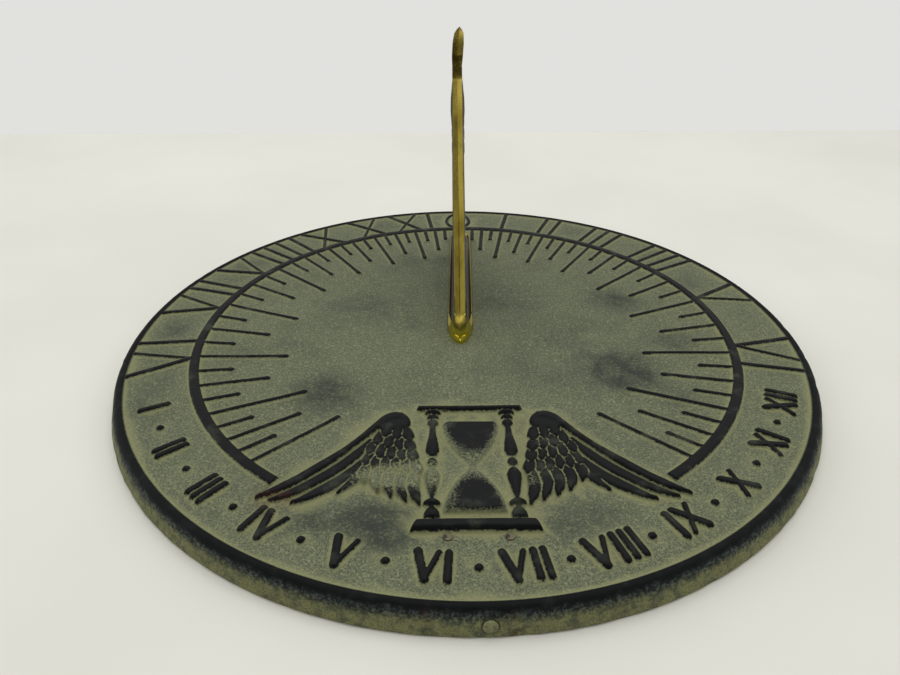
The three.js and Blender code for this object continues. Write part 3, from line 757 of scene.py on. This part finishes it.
def iron_finish():
    """Black iron with a green-grey wash that stayed in the hollows and wore off the raised parts."""
    f = Finish("patinated_iron", Metallic=0.0, Specular_IOR_Level=0.12)
    sheltered = f.attribute("sheltered")
    fall = f.attribute("fall")
    broad = f.noise(26, detail=4, distortion=0.6)
    patchy = f.noise(7, detail=4)
    mottled = f.noise(3, detail=4, roughness=0.65)
    speckle = f.noise(0.9, detail=2, roughness=0.7)
    grain = f.noise(0.5, detail=2, roughness=0.8)

    dark = f.range(f.between(broad, 0.45, 0.7), 0.0, 0.3)
    dark = f.math("ADD", dark, f.attribute("cloud"))
    dark = f.math("MULTIPLY", dark, f.range(f.between(patchy, 0.3, 0.65), 0.6, 1.0))
    dark = f.math("SUBTRACT", dark, f.math("MULTIPLY", sheltered, 0.3))
    colour = f.mix(dark, srgb(112, 118, 94), srgb(45, 51, 49))
    colour = f.over(colour, (116, 119, 88), sheltered, 0.4)
    colour = f.over(colour, (58, 63, 54), f.between(grain, 0.58, 0.4), 0.75)
    fewer_in_dark = f.range(dark, 0.75, 0.2)
    colour = f.over(colour, (140, 141, 104), f.between(speckle, 0.5, 0.7), fewer_in_dark)
    colour = f.over(colour, (66, 73, 70), f.between(mottled, 0.52, 0.7), 0.25)
    colour = f.over(colour, (140, 141, 100), f.attribute("hollows"), 0.75)

    black = f.tones(patchy, 0.5, 0.75, (8, 10, 11), (26, 31, 31))
    stipple = f.noise(0.75, detail=2, roughness=0.7)
    stippled = f.math("ADD", f.attribute("tops"), f.range(stipple, -0.6, 0.6))
    stippled = f.between(stippled, 0.25, 0.7)
    worn = f.range(f.between(patchy, 0.5, 0.8), 1.0, 0.8)
    colour = f.mix(f.math("MULTIPLY", stippled, worn), colour, black)

    rim_green = f.tones(mottled, 0.42, 0.66, (126, 127, 88), (86, 91, 70))
    rim_green = f.over(rim_green, (140, 142, 102), f.between(speckle, 0.5, 0.72), 0.4)
    rim_green = f.over(rim_green, (58, 62, 50), f.between(grain, 0.55, 0.38), 0.5)
    blend = f.tones(speckle, 0.42, 0.62, (30, 35, 36), (64, 72, 70))
    lifted = f.math("ADD", fall, f.range(mottled, -0.16, 0.16))
    rim_colour = f.mix(f.between(lifted, 0.06, 0.26), black, blend)
    lifted = f.math("ADD", fall, f.range(speckle, -0.2, 0.2))
    rim_colour = f.mix(f.between(lifted, 0.2, 0.6), rim_colour, rim_green)
    colour = f.mix(f.attribute("rim"), colour, rim_colour)
    patches = f.between(f.noise(1.6, detail=3), 0.4, 0.6)
    rust = f.math("MULTIPLY", f.attribute("rust"), patches)
    colour = f.over(colour, (74, 36, 30), rust, 0.6)

    roughness = f.range(stippled, 0.7, 0.52)
    normal = f.bump(f.noise(2.2, detail=4), 0.12)
    normal = f.bump(grain, 0.08, 0.9, normal)
    return f.finish(colour, roughness, normal)


def brass_finish():
    """Cast brass: polished on the style's edge, the nose and the lips, darkened on its sides, with
    painted shade on its left side and nose and a painted dark reflection along the ridge.
    """
    f = Finish("brass", Metallic=1.0)
    dark = f.attribute("dark")
    soot_and_shade = f.attribute("soot_and_shade")
    smears = f.noise(5, detail=4, place=f.stretched(1, 0.35, 0.35))
    grain = f.noise(0.7, detail=3, roughness=0.7)
    bright = f.tones(smears, 0.35, 0.7, (164, 148, 66), (126, 112, 42))
    bright = f.mix(f.attribute("polish"), bright, srgb(216, 199, 72))
    aged = f.tones(grain, 0.35, 0.65, (62, 67, 70), (86, 89, 90))
    smeared = f.range(f.between(smears, 0.25, 0.8), 1.0, 0.8)
    colour = f.mix(f.math("MULTIPLY", dark, smeared), bright, aged)
    grainy = f.range(f.between(grain, 0.3, 0.6), 0.65, 1.0)
    # Soot and painted shade: darkens the finial's hollow, and as painted shade the left side and the
    # nose, and the ridge's painted dark reflection.
    colour = f.over(colour, (46, 34, 14), soot_and_shade, grainy)
    roughness = f.range(f.math("MAXIMUM", dark, soot_and_shade), 0.24, 0.5)
    normal = f.bump(grain, 0.03, 0.6)
    normal = f.bump(smears, 0.06, 0.5, normal)
    return f.finish(colour, roughness, normal)


def steel_finish():
    f = Finish("screw_steel", Metallic=1.0)
    grain = f.noise(0.5, detail=3)
    colour = f.tones(grain, 0.3, 0.7, (176, 176, 172), (128, 126, 120))
    return f.finish(colour, f.range(grain, 0.25, 0.5), f.bump(grain, 0.02, 0.5))


def pin_finish(pin):
    """Painted over like the field, browned, with a dark spot on its left."""
    f = Finish("worn_pin", Metallic=0.0, Specular_IOR_Level=0.3)
    patch = f.noise(0.9, detail=3)
    colour = f.tones(patch, 0.4, 0.6, (98, 98, 74), (112, 100, 76))
    # A dark spot on the left of the pin's top.
    dark_left_spot = f.between(f.away_from(pin.x - 0.8, pin.y, PIN_TOP), 0.9 * MM, 0.5 * MM)
    colour = f.over(colour, (30, 27, 24), dark_left_spot, f.range(patch, 0.7, 1.0))
    return f.finish(colour, 0.6, f.bump(patch, 0.12))


def plug_finish():
    f = Finish("painted_plug", Metallic=0.0, Specular_IOR_Level=0.3)
    patch = f.noise(1.1, detail=3)
    colour = f.tones(patch, 0.45, 0.7, (128, 129, 94), (88, 92, 70))
    return f.finish(colour, 0.6, f.bump(patch, 0.1))


def floor_finish():
    f = Finish("pale_table", Specular_IOR_Level=0.3)
    smudge = f.noise(160, detail=3)
    colour = f.tones(smudge, 0.3, 0.7, (226, 225, 217), (219, 218, 209))
    return f.finish(colour, 0.55, f.bump(f.noise(2.5, detail=2), 0.02, 0.3))


def dress(piece, material):
    piece.data.materials.clear()
    piece.data.materials.append(material)


# ---- gnomon

GNOMON_TURN = math.radians(-1.5)
GNOMON_LEAN = math.radians(-1.35)
GNOMON_PIVOT = Vector((0, 60, FACE_Z))
FINIAL_BEND = 1.3
FLANGE_HALF = 5.25
NOSE_Y = -9.9
NOSE_SHOULDER_Y = -7.8
BOW_LENGTH = 14.0
HEEL_Y = 93.0
HEEL_LENGTH = 7.0
FLANGE_BOTTOM = 7.06
FLANGE_TOP = 9.7
STYLE_TOP_Y = 76.8
FINIAL_TIP = (86.5, 106.45)
CASTING_CREASE = math.radians(32)


def style_height(y):
    return FACE_Z + (y - STYLE_FOOT_Y) * math.tan(LATITUDE)


def bend(start, control, end, count=10):
    """A quadratic curve, without its first point."""
    t = np.linspace(0, 1, count + 1)[1:, None]
    start, control, end = (np.array(point, float) for point in (start, control, end))
    return list((1 - t) ** 2 * start + 2 * t * (1 - t) * control + t**2 * end)


def evenly(path, spacing):
    """The path with points about that far apart, its corners kept where they are."""
    points = [np.asarray(path[0], float)]
    for end in path[1:]:
        start = points[-1]
        count = max(1, round(math.dist(start, end) / spacing))
        points += [start + (np.asarray(end) - start) * step / count for step in range(1, count + 1)]
    return np.array(points)


def filled(outline, inner):
    """Triangles inside a closed outline, from its points and the inner ones."""
    spots = [Vector(point) for point in np.vstack([outline, inner])]
    edges = [(place, (place + 1) % len(outline)) for place in range(len(outline))]
    points, _, faces, *_ = delaunay_2d_cdt(spots, edges, [], 1, 1e-5)
    triangles = np.array([tuple(face) for face in faces if len(face) == 3])
    return np.array([tuple(point) for point in points]), triangles


def fin_outline():
    """The fin from the side, as (y, z): its front edge from nose to tip, and its back edge."""
    corner = style_height(STYLE_TOP_Y)

    def from_corner(y, z):
        return (STYLE_TOP_Y + y, corner + z)

    front = [(NOSE_Y + 0.6, 7.6), (NOSE_Y + 0.12, FLANGE_TOP - 0.1)]
    shoulder = (NOSE_SHOULDER_Y, style_height(NOSE_SHOULDER_Y))
    front += bend(front[-1], (NOSE_Y + 0.4, FLANGE_TOP + 3.6), shoulder, 14)
    front += [(STYLE_TOP_Y, corner)]
    front += bend(front[-1], from_corner(5.6, 3.4), from_corner(2.6, 9.5), 12)
    front += bend(front[-1], from_corner(2.2, 15.2), FINIAL_TIP, 14)
    back = [FINIAL_TIP]
    for control, end, count in [
        ((91.0, corner + 12.5), from_corner(10.6, 4), 12),
        (from_corner(8.6, -3), from_corner(6.2, -6), 8),
        ((67.5, 56), (66.8, 38), 24),
        ((67.2, 15), (85.5, 9.6), 16),
    ]:
        back += bend(back[-1], control, end, count)
    back += [(85.5, 7.6)]
    return evenly(front, 0.45), evenly(back, 0.45)


def leaf_bulge(y, z):
    """How far leaves, stem and veins stand out of the fin's sides."""
    stem = curve([(80, 13), (66, 19), (52, 26), (50, 38), (58, 50), (68, 60), (77, 74)], 40)
    distance, share = from_path(stem, y, z)
    bulge = 0.85 * np.sqrt(np.clip(1 - (distance / (1.5 - 0.5 * share)) ** 2, 0, 1))
    leaves = [
        ((60, 58), (66, 66.5), (77.5, 81.5), 4.4, 1.3),
        ((54, 45), (46, 45), (40, 48.5), 3.0, 0.95),
        ((50, 33), (40, 33.5), (28, 37), 3.4, 0.95),
        ((54, 25), (42, 22), (22, 21), 4.0, 0.9),
        ((62, 20.5), (44, 13.5), (8, 14.5), 3.2, 0.85),
        ((56, 48), (62, 47.5), (65.5, 44), 2.4, 0.8),
    ]
    for root, middle, tip, half, height in leaves:
        spine = curve([root, middle, tip], 16)
        distance, share = from_path(spine, y, z)
        width = half * np.sin(math.pi * np.clip(0.08 + 0.92 * share, 0, 1)) ** 0.8 + 1e-3
        across = np.abs(distance) / width
        crown = height * np.clip(1 - across**2.2, 0, 1)
        vein = 0.45 * np.exp(-((distance / 0.4) ** 2))
        vein = vein + 0.16 * np.clip(np.sin(30 * share + 2.2 * across), 0, 1)
        bulge = np.maximum(bulge, crown - vein * (crown > 0.15))
    return np.clip(bulge, 0, None)


def bow_curve():
    """One side of the nose from above, from the straight side to the tip, as (half width, y)."""
    t = np.linspace(0, 1, 19)[:, None]
    half = FLANGE_HALF
    controls = [(half, 1), (half, 0.5), (0.52 * half, 0.09), (0, 0)]
    a, b, c, d = np.array([(x, NOSE_Y + share * BOW_LENGTH) for x, share in controls])
    return (1 - t) ** 3 * a + 3 * t * (1 - t) ** 2 * b + 3 * t**2 * (1 - t) * c + t**3 * d


def fin_half_thickness(y, z, front, back):
    """Half the fin's thickness: a roof-shaped edge, swollen sides, a thin web and a bow-shaped nose."""
    to_front = np.abs(from_path(front, y, z)[0])
    to_back = np.abs(from_path(back, y, z)[0])
    corner = style_height(STYLE_TOP_Y)
    heights = [16, 22] + [corner + up for up in (-2, 1, 5, 9, 14, 17.5)] + [106.6]
    facet = np.interp(z, heights, [2.1, 1.9, 1.95, 2.15, 2.1, 2.35, 2.4, 2.0, 0.35])
    heights = [16, 22, 58, 66, 68.5, 72, 76, 80, 84, corner]
    side = np.interp(z, heights, [2.1, 2.55, 2.5, 2.45, 2.05, 2.65, 3.0, 2.9, 2.4, 2.1])
    side = np.where(z > corner, facet, np.maximum(side, facet))
    rail = facet + (side - facet) * rise(0.5, 1.2, to_front)
    web = rail + (1.55 - rail) * rise(3.4, 5.8, to_front)
    body = np.where(z > corner - 4, rail, web)
    edge = body * np.sqrt(1 - (1 - np.clip(to_back / 1.3, 0, 1)) ** 2)
    roof_depth = np.interp(z, [11, 18], [3.0, 0.5])
    half = np.where(to_front < roof_depth, np.minimum(facet * to_front / roof_depth, edge), edge)
    bulge = leaf_bulge(y, z) * rise(3.8, 6.0, to_front) * rise(0.4, 1.8, to_back)
    bow_half, bow_y = bow_curve()[::-1].T
    bow = (np.interp(y, bow_y, bow_half) - 0.1) * (1 - 0.6 * rise(FLANGE_TOP - 0.5, 17, z))
    bow *= np.clip(to_front / 3.2, 0, 1) ** 0.85 * (1 - rise(-2.0, 2.5, y)) * (1 - rise(15, 19, z))
    return np.maximum(half + bulge, bow)


def inner_points(outline, closed_distance, spacing, insets, margin):
    """Points inside: rows that follow the outline at given insets, then an even grid."""
    ends = zip(outline.min(axis=0), outline.max(axis=0))
    across, up = np.meshgrid(*(np.arange(low, high, spacing) for low, high in ends), indexing="ij")
    across[:, ::2] += spacing / 2
    grid = np.stack([across.ravel(), up.ravel()], axis=-1)
    grid = grid[closed_distance(grid) > margin]
    along = np.roll(outline, -1, axis=0) - np.roll(outline, 1, axis=0)
    along /= np.linalg.norm(along, axis=1)[:, None] + 1e-12
    normal = np.stack([-along[:, 1], along[:, 0]], axis=-1)
    rows = [grid]
    for inset in insets:
        row = outline + normal * inset
        rows.append(row[closed_distance(row) > inset * 0.9])
    return np.vstack(rows)


def inside_distance(outline):
    """A function that gives how far inside a closed outline a point is, and less than 0 outside it."""
    ring = np.vstack([outline, outline[:1]])

    def measure(points):
        x, y = points.T
        distance = np.abs(from_path(ring, x, y)[0])
        inside = np.zeros(len(points), bool)
        for (x0, y0), (x1, y1) in zip(ring[:-1], ring[1:]):
            crosses = (y0 > y) != (y1 > y)
            with np.errstate(divide="ignore", invalid="ignore"):
                inside ^= crosses & (x < (x1 - x0) * (y - y0) / (y1 - y0) + x0)
        return np.where(inside, distance, -distance)

    return measure


def mirrored_shell(points, faces, half, outline_count):
    """Two copies of a flat mesh pushed apart by half, sharing the points of the outline."""
    count = len(points)
    left = np.column_stack([-half, points])
    right = np.column_stack([half, points])
    twin = np.arange(count)
    free = np.arange(outline_count, count)
    twin[free] = count + np.arange(len(free))
    vertices = np.vstack([right, left[free]])
    vertices[:outline_count, 0] = 0
    return vertices, np.vstack([faces, twin[faces[:, ::-1]]])


def fin_mesh():
    front, back = fin_outline()
    outline = counter_clockwise(np.vstack([front, back[1:]]))
    measure = inside_distance(outline)
    spacing = 0.55
    inner = inner_points(outline, measure, spacing, [0.03, 0.08, 0.25, 0.44, 0.5, 0.57, 0.9], 1.25)
    points, faces = filled(outline, inner)
    half = fin_half_thickness(points[:, 0], points[:, 1], front, back)
    half[:len(outline)] = 0
    vertices, triangles = mirrored_shell(points, faces, half, len(outline))
    return mesh_of("gnomon_casting", vertices, triangles)


def boat_outline():
    """The foot from above: a bow-shaped nose, straight sides and a round heel."""
    half = FLANGE_HALF
    side = [(half, NOSE_Y + BOW_LENGTH), (half, HEEL_Y - HEEL_LENGTH)]
    side += bend(side[-1], (half, HEEL_Y - 0.5), (0, HEEL_Y), 16)
    side += bend(side[-1], (-half, HEEL_Y - 0.5), (-half, HEEL_Y - HEEL_LENGTH), 16)
    side += [(-half, NOSE_Y + BOW_LENGTH)]
    left_bow = bow_curve()[1:] * np.array([-1, 1])
    right_bow = bow_curve()[::-1][1:]
    return evenly(side + list(left_bow) + list(right_bow), 0.5)[:-1]


def foot_height(x, y, inside):
    """The top of the foot: thin lips, a channel on each side of the fin, and a solid nose."""
    across = np.abs(x)
    lip = 8.2 + (FLANGE_TOP - 8.2) * rise(-0.02, 0.4, inside)
    channel_half = 2.6 + 0.18 * y
    channel = 1.45 * rise(0.85, 1.3, inside) * rise(-0.25, 0.25, channel_half - across)
    channel = channel * within(-1.5, 0.5, HEEL_Y - 5, HEEL_Y - 2, y)
    fillet = 1.6 * rise(2.7, 1.5, across) * rise(0.9, 1.6, inside) * rise(0, 4, y)
    return lip - channel + fillet


def counter_clockwise(outline):
    x, y = outline.T
    area = np.sum(x * np.roll(y, -1) - np.roll(x, -1) * y)
    return outline if area > 0 else outline[::-1]


def foot_mesh():
    """The foot as a closed body: its shaped top, a flat bottom and the wall between them."""
    outline = counter_clockwise(boat_outline())
    measure = inside_distance(outline)
    inner = inner_points(outline, measure, 0.4, [0.12, 0.25, 0.4, 0.7, 0.95, 1.2], 1.3)
    points, faces = filled(outline, inner)
    edge = len(outline)
    inside = np.maximum(measure(points), 0)
    inside[:edge] = 0
    upper = np.column_stack([points, foot_height(points[:, 0], points[:, 1], inside)])
    lower = np.column_stack([outline, np.full(edge, FLANGE_BOTTOM)])
    _, low_faces = filled(outline, np.empty((0, 2)))
    low_faces = low_faces[:, ::-1] + len(points)
    walls = []
    for place in range(edge):
        following = (place + 1) % edge
        below, below_following = place + len(points), following + len(points)
        walls += [(place, below, below_following), (place, below_following, following)]
    return mesh_of("foot", np.vstack([upper, lower]), np.vstack([faces, low_faces, walls]))


def mark_brass(gnomon):
    """Where the brass is darkened: its sides, its channels and the finial's hollow, with painted shade
    on its left side, its left lip and its nose, and a painted dark reflection along the ridge.
    """
    x, y, z = points_of(gnomon).T
    front, _ = fin_outline()
    corner = style_height(STYLE_TOP_Y)
    to_front = np.abs(from_path(front, y, z)[0])
    behind_nose = rise(-1.5, 2.5, y)
    side = rise(0.45, 0.8, to_front) * rise(10.0, 11.5, z) * behind_nose
    leaf_tops = rise(2.0, 2.5, np.abs(x)) * rise(6, 7, to_front)
    channel = rise(-1.0, 0.5, y) * (1 - rise(8.9, 9.5, z)) * (np.abs(x) < FLANGE_HALF - 0.55) * (z > 7.4)
    # Painted shade: the left lip is darkened more than the right one.
    lips = (0.3 + 0.4 * (x < 0)) * rise(4, 20, y) * (np.abs(x) > 3.2) * (z > 8.8) * (z < 11)
    dark = np.clip(np.maximum(side * (1 - 0.75 * leaf_tops) + channel, lips), 0, 1)

    left = x < -0.1
    # Painted reflection: a dark line along the ridge's apex stands for the dark reflection there.
    ridge_reflection = 0.9 * (1 - rise(0.02, 0.08, to_front)) * rise(15, 19, z) * (1 - 0.7 * rise(40, 60, z))
    # Painted shade on the left facet of the style: low down, in the middle and near the top.
    shaded_left = 0.35 * (rise(14, 20, z) + within(42, 52, corner - 14, corner - 8, z))
    shaded_left = np.maximum(shaded_left, 0.85 * rise(corner + 3, corner + 6, z))
    soot_and_shade = np.where(left & (to_front < 0.55), shaded_left, 0)
    hollow_top = corner + 9.5 - 2.4 * np.clip(x, -1, 2.2)
    hollow = 0.9 * within(corner - 0.4, corner + 0.8, hollow_top - 1.0, hollow_top + 0.8, z)
    # Painted shade: the left side of the fin beside the style is darkened almost to black.
    left_side = 0.85 * left * within(0.5, 0.9, 2.5, 4, to_front) * (z > 11) * behind_nose
    # Darker toward the top of the fin, and painted shade on a band of the nose that tones down its
    # bright reflection.
    upper = 0.45 * np.maximum(rise(40, 75, z), within(12.3, 13.3, 14.5, 18, z) * (y < 4))
    soot_and_shade = np.maximum.reduce([soot_and_shade, hollow, ridge_reflection, left_side, upper])
    set_attribute(gnomon, "polish", (1 - rise(11.8, 13.4, z)) * (1 - rise(-4, 2, y)))
    set_attribute(gnomon, "dark", dark)
    set_attribute(gnomon, "soot_and_shade", np.clip(soot_and_shade, 0, 1))


def sharpen(piece, chosen):
    """Makes the edges between chosen points sharp."""
    edges = np.zeros(len(piece.data.edges) * 2, np.int32)
    piece.data.edges.foreach_get("vertices", edges)
    for place in np.flatnonzero(chosen[edges.reshape(-1, 2)].all(axis=1)):
        piece.data.edges[int(place)].use_edge_sharp = True


def gnomon_piece():
    """The fin and the foot in one casting, marked for its finish and set on the dial."""
    fin = fin_mesh()
    foot = foot_mesh()
    union = fin.modifiers.new("union", "BOOLEAN")
    union.operation = "UNION"
    union.object = foot
    union.solver = "EXACT"
    fin.modifiers.new("triangles", "TRIANGULATE")
    apply_modifiers(fin)
    bpy.data.objects.remove(foot)
    mark_brass(fin)
    points = points_of(fin)
    to_front = np.abs(from_path(fin_outline()[0], points[:, 1], points[:, 2])[0])
    on_ridge = (np.abs(points[:, 0]) < 0.01) & (to_front < 0.02) & (points[:, 2] > 14)
    above_neck = np.clip((points[:, 2] - style_height(STYLE_TOP_Y) - 4) / 16, 0, 1)
    points[:, 0] += FINIAL_BEND * above_neck**1.5
    fin.data.vertices.foreach_set("co", (points * MM).ravel())
    turn = Matrix.Rotation(GNOMON_LEAN, 4, "Y") @ Matrix.Rotation(GNOMON_TURN, 4, "Z")
    pivot = Matrix.Translation(GNOMON_PIVOT * MM)
    fin.data.transform(pivot @ turn @ pivot.inverted())
    fin.data.shade_smooth()
    fin.data.set_sharp_from_angle(angle=CASTING_CREASE)
    sharpen(fin, on_ridge)
    return fin


# ---- table, lights and camera

def pale_table():
    """A table that ends behind the dial, just under it so that no two faces lie in one plane."""
    low_x, high_x, low_y, high_y, top = -2600, 2600, -1800, 318, -0.05
    vertices = [(low_x, low_y, top), (high_x, low_y, top), (high_x, high_y, top), (low_x, high_y, top)]
    table = mesh_of("table", vertices, [(0, 1, 2), (0, 2, 3)])
    dress(table, floor_finish())


def soft_light(name, place, size, power):
    """A round lamp that faces the dial's centre, placed in metres."""
    light = bpy.data.lights.new(name, "AREA")
    light.shape = "DISK"
    light.size = size
    light.energy = power
    holder = placed(name, light)
    holder.location = place
    holder.rotation_euler = (-Vector(place)).to_track_quat("-Z", "Y").to_euler()


def studio():
    """A pale room, bright behind and above the dial and dimmer in front, with four soft lamps."""
    world = bpy.data.worlds.new("studio")
    world.use_nodes = True
    nodes = Nodes(world.node_tree)
    direction = nodes.made("TexCoord", "Generated", {})
    depth = {
        "Value": nodes.made("SeparateXYZ", "Y", {0: direction}),
        "From Min": -0.9, "From Max": 0.35, "To Min": 0.5, "To Max": 0.97,
    }
    strength = nodes.made("MapRange", "Result", depth, interpolation_type="SMOOTHSTEP")
    background = world.node_tree.nodes["Background"].inputs
    nodes.join(srgb(228, 228, 225), background["Color"])
    nodes.join(strength, background["Strength"])
    bpy.context.scene.world = world
    bpy.context.scene.view_settings.view_transform = "Standard"
    soft_light("overhead", (0.05, 0.3, 1.1), 0.9, 4.5)
    soft_light("left", (-0.9, 0.1, 0.45), 0.8, 1.6)
    soft_light("right", (0.8, -0.1, 0.6), 0.45, 0.8)
    soft_light("front", (0, -1.4, 0.3), 0.18, 0.35)


def camera():
    """The photograph's view."""
    lens = bpy.data.cameras.new("camera")
    lens.lens = 27.2
    lens.sensor_width = 36
    lens.clip_start = 0.005
    holder = placed("camera", lens)
    yaw, pitch, roll = (math.radians(angle) for angle in (0.756, -31.71, 0.055))
    ahead = Vector((math.sin(yaw) * math.cos(pitch), math.cos(yaw) * math.cos(pitch), math.sin(pitch)))
    turn = ahead.to_track_quat("-Z", "Y").to_matrix().to_4x4() @ Matrix.Rotation(-roll, 4, "Z")
    holder.matrix_world = Matrix.Translation(Vector((-8.7, -229.8, 146.0)) * MM) @ turn
    bpy.context.scene.camera = holder


# ---- assembly

camera()
studio()
pale_table()

face = face_relief()
plate = dial_plate_mesh(face)
finish_maps(plate, face)
dress(plate, iron_finish())
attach(plate, "root")
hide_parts("dial_plate")

gnomon = gnomon_piece()
dress(gnomon, brass_finish())
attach(gnomon, "root")
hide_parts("gnomon")

steel = steel_finish()
for node in ("gnomon_screw_front", "gnomon_screw_rear", "lock_washer_front", "lock_washer_rear"):
    dress(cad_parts[node], steel)
for place, pin in PINS.items():
    dress(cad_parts[f"face_pin_{place}"], pin_finish(pin))
dress(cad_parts["rim_plug"], plug_finish())
